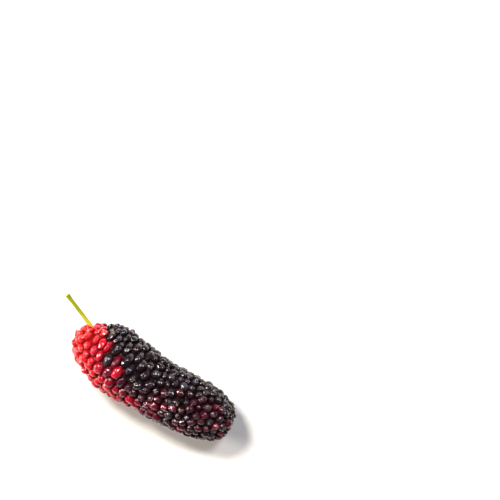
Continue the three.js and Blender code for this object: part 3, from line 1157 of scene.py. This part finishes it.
    def _build_colour(
        self, red: bool, patches: list[Patch], stalk: Stalk
    ) -> tuple[np.ndarray, np.ndarray, dict[str, np.ndarray]]:
        """Build the domes of one colour.

        Args:
            red: whether these are the red ones.
            patches: every drupelet's measures.
            stalk: the stalk that stands in the fruit.

        Returns:
            Points, faces, and the shader's vectors at the faces' corners.
        """
        chosen = [one for one in self.drupelets if one.red == red]
        used = np.unique(np.concatenate([patches[one.index].rim for one in chosen]))
        row_of = np.full(len(self.rims), -1)
        row_of[used] = np.arange(len(used))
        tops = self.rim_tops[used] + self._seam_steps(used, red)
        points = [tops]
        faces, places, kinds = [], [], []
        count = len(used)
        for one in chosen:
            patch = patches[one.index]
            if one.index == 0:
                raised, flat, reach = self._sink_socket(patch, stalk.inward)
            else:
                raised, flat, reach = self._raise(one, patch)
            self.tops[one.index] = raised[0]
            around = len(patch.rim)
            rows = np.concatenate([np.arange(count, count + len(raised)), row_of[patch.rim]])
            local = fan_faces(around, self.dome_rings)
            faces.append(rows[local])
            points.append(raised)
            count += len(raised)
            places.append(np.column_stack([flat, reach])[local].reshape(-1, 3))
            kind = (self.ripeness[one.index], self.chances[one.index], self.painted_sheen_share[one.index])
            kinds.append(np.tile(kind, (local.size, 1)))
        wall = self._wall(red, row_of, count)
        points.append(wall[0])
        faces.append(wall[1])
        places.append(np.ones((wall[1].size, 3)))
        kinds.append(np.tile((0.5, 0.0, 0.0), (wall[1].size, 1)))
        placed = np.concatenate(points)
        placed = stalk.clear(placed, self.socket_radius)
        placed[:, 2] = np.maximum(placed[:, 2], 0)
        corners = {"drupelet_place": np.concatenate(places), "drupelet_kind": np.concatenate(kinds)}
        return placed, np.concatenate(faces), corners

    def _seam_steps(self, used: np.ndarray, red: bool) -> np.ndarray:
        """Part the two colours where they meet.

        Args:
            used: rows of the rim points.
            red: which colour they belong to.

        Returns:
            The small step that each point takes away from the other colour.
        """
        steps = np.zeros((len(used), 3))
        for row, rim in enumerate(used):
            owners = self.rim_owners[rim]
            own = [i for i in owners if self.drupelets[i].red == red]
            others = [i for i in owners if self.drupelets[i].red != red]
            if own and others:
                away = self.points[own].mean(0) - self.points[others].mean(0)
                steps[row] = unit(away) * self.seam_gap / 2
        return steps

    def _wall(self, red: bool, row_of: np.ndarray, count: int) -> tuple[np.ndarray, np.ndarray]:
        """Close one colour inside the fruit, with a fan from its seam to a point.

        Args:
            red: which colour.
            row_of: the colour's point for each rim point.
            count: how many points the colour has so far.

        Returns:
            The fan's own point, and its faces.
        """
        edges = []
        for one in self.drupelets:
            if one.red != red:
                continue
            onward = one.cell[1:] + one.cell[:1]
            for pair, across in zip(zip(one.cell, onward), one.across):
                if self.drupelets[across].red != red:
                    edges.append(row_of[np.concatenate([self.rim_rows[pair], [pair[1]]])])
        rims = np.unique(np.concatenate(edges))
        seam = np.flatnonzero(np.isin(row_of, rims))
        heart = self.rims[seam].mean(0) + self._seam_steps(seam, red).mean(0)
        faces = [(b, a, count) for edge in edges for a, b in zip(edge, edge[1:])]
        return heart[None, :], np.array(faces)


def spokes(tangents: np.ndarray, level: np.ndarray, sides: int) -> np.ndarray:
    """Give the ways out from a line, at even angles round each of its points.

    Args:
        tangents: the line's direction at each point.
        level: directions that the first spokes stand square to.
        sides: how many spokes each point has.

    Returns:
        The spokes, point by point.
    """
    across = unit(level)
    over = np.cross(tangents, across)
    angles = (TURN * np.arange(sides) / sides)[None, :, None]
    return across[:, None] * np.cos(angles) + over[:, None] * np.sin(angles)


def ring_walls(around: int, rings: int, first: int = 0) -> np.ndarray:
    """Join rings of points, each to the next.

    Args:
        around: points in each ring.
        rings: how many rings there are.
        first: the first ring's first point.

    Returns:
        The triangles.
    """
    here = np.arange(around)
    onward = (here + 1) % around
    faces = []
    for ring in range(rings - 1):
        low = first + ring * around
        high = low + around
        faces.append(np.column_stack([low + here, low + onward, high + onward]))
        faces.append(np.column_stack([low + here, high + onward, high + here]))
    return np.concatenate(faces)


def tube_faces(around: int, rings: int, root: int, tip: int) -> np.ndarray:
    """Join rings of points to a tube, and close each end with a fan.

    Args:
        around: points in each ring.
        rings: how many rings there are.
        root: the point in the middle of the first ring.
        tip: the point in the middle of the last ring.

    Returns:
        The triangles.
    """
    here = np.arange(around)
    onward = (here + 1) % around
    top = (rings - 1) * around
    closed = np.column_stack([top + here, top + onward, np.full(around, tip)])
    rooted = np.column_stack([onward, here, np.full(around, root)])
    return np.concatenate([ring_walls(around, rings), closed, rooted])


def fan_faces(around: int, rings: int) -> np.ndarray:
    """Join a middle point and rings of points round it to a fan.

    Args:
        around: points in each ring.
        rings: how many rings there are.

    Returns:
        The triangles.
    """
    here = np.arange(around)
    hub = np.column_stack([np.zeros(around, int), 1 + here, 1 + (here + 1) % around])
    return np.concatenate([hub, ring_walls(around, rings, 1)[:, ::-1]])


@dataclass
class Stalk:
    """The stalk: a bent green stem from its root in the fruit to its cut end.

    The rings across the cut give a share of the radius, how far they stand out and how much is pith.
    """

    joint: tuple[float, float, float] = (-17.5, 4.1, 8.5)
    reach: tuple[float, float, float] = (-8.5, 3.5, 2.6)
    bow: tuple[float, float, float] = (-4.3, 1.75, 1.0)
    radius: float = 0.5
    end_radius: float = 0.64
    swell_from: float = 0.75
    depth: float = 2.3
    sides: int = 40
    steps: int = 70
    ridge_mm: float = 0.022
    ridges: int = 7
    ripples: int = 3
    ripple_share: float = 0.7
    ripple_twist: float = 9.0
    cut_crown: float = 0.02
    cut_rings: tuple[tuple[float, float, float], ...] = (
        (0.93, 0.05, 0.3),
        (0.8, 0.04, 1.0),
        (0.5, 0.0, 0.8),
        (0.22, 0.02, 1.0),
    )

    def __post_init__(self) -> None:
        """Lay the stem's line."""
        joint = np.array(self.joint)
        bow = np.array(self.bow)
        self.inward = -unit(bow)
        root = joint + self.inward * self.depth
        self.held = np.array([root, joint + bow, joint + np.array(self.reach)])

    def line(self, t: np.ndarray) -> np.ndarray:
        """Find points along the stem.

        Args:
            t: shares of the way from its root to its cut end.

        Returns:
            The points there.
        """
        t = np.asarray(t, float)[..., None]
        a, b, c = self.held
        return (1 - t) ** 2 * a + 2 * (1 - t) * t * b + t**2 * c

    def clear(self, points: np.ndarray, radius: float) -> np.ndarray:
        """Press points out of the stem.

        Args:
            points: points of the fruit.
            radius: how near to the stem's line they may come.

        Returns:
            The points, with those too near moved out to that distance.
        """
        joint = np.array(self.joint)
        along = (points - joint) @ -self.inward
        nearest = joint - along[:, None] * self.inward
        away = points - nearest
        distance = np.linalg.norm(away, axis=1)
        held = (distance < radius) & (distance > 1e-6) & (along > -self.depth / 2)
        moved = points.copy()
        moved[held] = nearest[held] + away[held] / distance[held, None] * radius
        return moved

    def build(self, finish: GreenStalk) -> bpy.types.Object:
        """Build the stem.

        Args:
            finish: its bark.

        Returns:
            The piece.
        """
        centres = self.line(np.linspace(0, 1, self.steps + 1))
        walked = np.concatenate([[0], np.cumsum(np.linalg.norm(np.diff(centres, axis=0), axis=1))])
        tangents = unit(np.gradient(centres, axis=0))
        ways = spokes(tangents, np.cross(UP, tangents), self.sides)
        share = (walked / walked[-1])[:, None]
        swell = np.clip((share - self.swell_from) / (1 - self.swell_from), 0, 1) ** 2
        angles = TURN * np.arange(self.sides) / self.sides
        ripple = np.sin(self.ripples * angles + self.ripple_twist * share)
        ridge = np.cos(self.ridges * angles + share) + self.ripple_share * ripple
        radii = mix(self.radius, self.end_radius, swell) + self.ridge_mm * ridge
        rows = [(centres[:, None] + ways * radii[..., None]).reshape(-1, 3)]

        # What the shader reads: how far along the stalk, how far round it, and whether it is pith
        run = angles * self.radius
        far = np.repeat(walked - self.depth, self.sides)
        places = [np.column_stack([far, np.tile(run, self.steps + 1), far * 0])]
        end, out = centres[-1], tangents[-1]
        for scale, lift, pith in self.cut_rings:
            rows.append(end + ways[-1] * (radii[-1] * scale)[:, None] + out * lift)
            places.append(np.column_stack([far[-self.sides :], run, run * 0 + pith]))
        points = np.concatenate([*rows, [end + out * self.cut_crown], [centres[0]]])
        place = np.concatenate([*places, [[walked[-1], 0, 1]], [[-self.depth, 0, 0]]])
        rings = self.steps + 1 + len(self.cut_rings)
        faces = tube_faces(self.sides, rings, len(points) - 1, len(points) - 2)
        corners = {"stalk_place": place[faces].reshape(-1, 3)}
        return make_mesh_object("green_stalk", points, faces, finish.make(), corners)


@dataclass
class Styles:
    """Dried styles: a pair of curled threads on the tips of some drupelets."""

    share: float = 0.13
    length: Span = (0.5, 1.4)
    thickness: Span = (0.045, 0.022)
    curl: Span = (1.2, 3.6)
    parting: Span = (0.3, 0.9)
    climb: Span = (0.45, -0.35)
    root_depth: float = 0.05
    lowest: float = 0.02
    steps: int = 10
    sides: int = 5
    seed: int = 11

    def build(self, fruit: Fruit, finish: DriedStyle) -> bpy.types.Object:
        """Build the threads.

        Args:
            fruit: the fruit that carries them.
            finish: their finish.

        Returns:
            The piece.
        """
        draw = np.random.default_rng(self.seed)
        points, faces = [], []
        count = 0
        for one in fruit.drupelets:
            if one.pole or draw.random() > self.share:
                continue
            out = fruit.outs[one.index]
            side = unit(np.cross(out, UP + 1e-6))
            heading = draw.uniform(0, TURN)
            for branch in (-1, 1):
                way = heading + branch * draw.uniform(*self.parting)
                flat = side * math.cos(way) + np.cross(out, side) * math.sin(way)
                line = self._curl(fruit.tops[one.index], out, flat, draw)
                tube, walls = self._tube(line)
                points.append(tube)
                faces.append(walls + count)
                count += len(tube)
        placed = np.concatenate(points)
        placed[:, 2] = np.maximum(placed[:, 2], self.lowest)
        return make_mesh_object("dried_styles", placed, np.concatenate(faces), finish.make())

    def _curl(self, start: np.ndarray, out: np.ndarray, flat: np.ndarray, draw: Any) -> np.ndarray:
        """Lay one thread's line, which leaves the drupelet's tip and curls over.

        Args:
            start: the drupelet's tip.
            out: the way out of the fruit.
            flat: the way it leans.
            draw: where its chances come from.

        Returns:
            Points along the thread.
        """
        length = draw.uniform(*self.length)
        turning = draw.uniform(*self.curl) * draw.choice([-1, 1])
        sideways = np.cross(out, flat)
        share = np.linspace(0, 1, self.steps + 1)
        climb = mix(*self.climb, share)[:, None]
        heading = (turning * share**1.3)[:, None]
        steps = flat * np.cos(heading) + sideways * np.sin(heading) + out * climb
        walked = np.cumsum(unit(steps) * (length / self.steps), axis=0)
        return start - out * self.root_depth + np.concatenate([np.zeros((1, 3)), walked[:-1]])

    def _tube(self, line: np.ndarray) -> tuple[np.ndarray, np.ndarray]:
        """Make a thread along a line.

        Args:
            line: points along the thread.

        Returns:
            Its points and faces.
        """
        tangents = unit(np.gradient(line, axis=0))
        ways = spokes(tangents, np.cross(tangents, UP + 0.3), self.sides)
        radii = mix(*self.thickness, np.linspace(0, 1, len(line)))
        skin = (line[:, None] + ways * radii[:, None, None]).reshape(-1, 3)
        points = np.concatenate([skin, line[:1], line[-1:]])
        return points, tube_faces(self.sides, len(line), len(points) - 2, len(points) - 1)


class Lamp(Enum):
    """The studio's lights.

    Each has its place in degrees, counted from the photograph's right and up from the table, its
    distance and side in millimetres, its watts and its colour.
    """

    WINDOW = (124.0, 54.0, 450.0, 105.0, 2.6, "#FFFDF8")
    SKY = (50.0, 60.0, 600.0, 120.0, 1.5, "#F3F6FF")
    BOUNCE = (168.0, 18.0, 460.0, 105.0, 2.5, "#FFF6EC")


@dataclass
class Studio:
    """Pale table, soft lights and the camera at the photograph's angle, straight down."""

    turn: float = 32.0
    pixels_per_mm: float = 4.0
    joint_pixel: tuple[float, float] = (90.0, 324.0)
    camera_height: float = 450.0
    focus_height: float = 7.5
    sensor: float = 36.0
    clip: Span = (0.01, 20.0)
    table_side: float = 3000.0
    ambient: float = 0.12
    ambient_colour: str = "#F4F5F8"

    def image_to_row(self, right: float, up: float) -> np.ndarray:
        """Turn a step in the photograph into one in the row frame.

        Args:
            right: how far it goes to the right.
            up: how far it goes up.

        Returns:
            The level step.
        """
        cosine = math.cos(math.radians(self.turn))
        sine = math.sin(math.radians(self.turn))
        return np.array([right * cosine - up * sine, right * sine + up * cosine, 0.0])

    def set_camera(self, joint: tuple[float, float, float]) -> None:
        """Place the camera so that the stalk's joint falls on its pixel in the photograph.

        Args:
            joint: where the stalk enters the fruit.
        """
        middle = PHOTO_SIDE / 2
        step = self.image_to_row(
            (middle - self.joint_pixel[0]) / self.pixels_per_mm,
            (self.joint_pixel[1] - middle) / self.pixels_per_mm,
        )
        width = PHOTO_SIDE / self.pixels_per_mm
        data = bpy.data.cameras.new("camera")
        data.sensor_width = self.sensor
        data.lens = self.sensor * (self.camera_height - self.focus_height) / width
        data.clip_start, data.clip_end = self.clip
        camera = bpy.data.objects.new("camera", data)
        camera.location = Vector((*(np.array(joint) + step)[:2], self.camera_height)) * MM
        camera.rotation_euler = (0.0, 0.0, math.radians(self.turn))
        bpy.context.scene.collection.objects.link(camera)
        bpy.context.scene.camera = camera

    def set_lights(self) -> None:
        """Hang the soft lights and set the room's even light."""
        for lamp in Lamp:
            heading, slope, distance, side, watts, colour = lamp.value
            level = self.image_to_row(math.cos(math.radians(heading)), math.sin(math.radians(heading)))
            step = level * math.cos(math.radians(slope)) + UP * math.sin(math.radians(slope))
            data = bpy.data.lights.new(lamp.name.lower(), "AREA")
            data.shape = "SQUARE"
            data.size = side * MM
            data.energy = watts
            data.color = linear(colour)[:3]
            light = bpy.data.objects.new(lamp.name.lower(), data)
            light.location = Vector(step * distance * MM)
            light.rotation_euler = Vector(-step).to_track_quat("-Z", "Y").to_euler()
            bpy.context.scene.collection.objects.link(light)
        world = bpy.data.worlds.new("room")
        world.use_nodes = True
        backdrop = world.node_tree.nodes["Background"]
        backdrop.inputs["Color"].default_value = linear(self.ambient_colour)
        backdrop.inputs["Strength"].default_value = self.ambient
        bpy.context.scene.world = world
        bpy.context.scene.view_settings.view_transform = "Standard"

    def set_table(self, finish: PaleTable) -> None:
        """Lay the table that the fruit rests on.

        Args:
            finish: its paint.
        """
        half = self.table_side / 2
        corners = np.array([[-half, -half, 0], [half, -half, 0], [half, half, 0], [-half, half, 0]])
        table = make_mesh_object("table", corners, np.array([[0, 1, 2, 3]]), finish.make())
        report(table)


def main() -> None:
    """Build the mulberry piece by piece."""
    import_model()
    stalk = Stalk()
    studio = Studio()
    studio.set_camera(stalk.joint)
    fruit = Fruit(DrupeletRule(FruitForm()))
    fruit.build(stalk)

    stem = stalk.build(GreenStalk())
    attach(stem, BODY)
    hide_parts("stalk")
    report(stem)

    threads = Styles().build(fruit, DriedStyle())
    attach(threads, BODY)
    report(threads)

    studio.set_table(PaleTable())
    studio.set_lights()


if __name__ == "__main__":
    logging.basicConfig(level=logging.INFO)
    main()
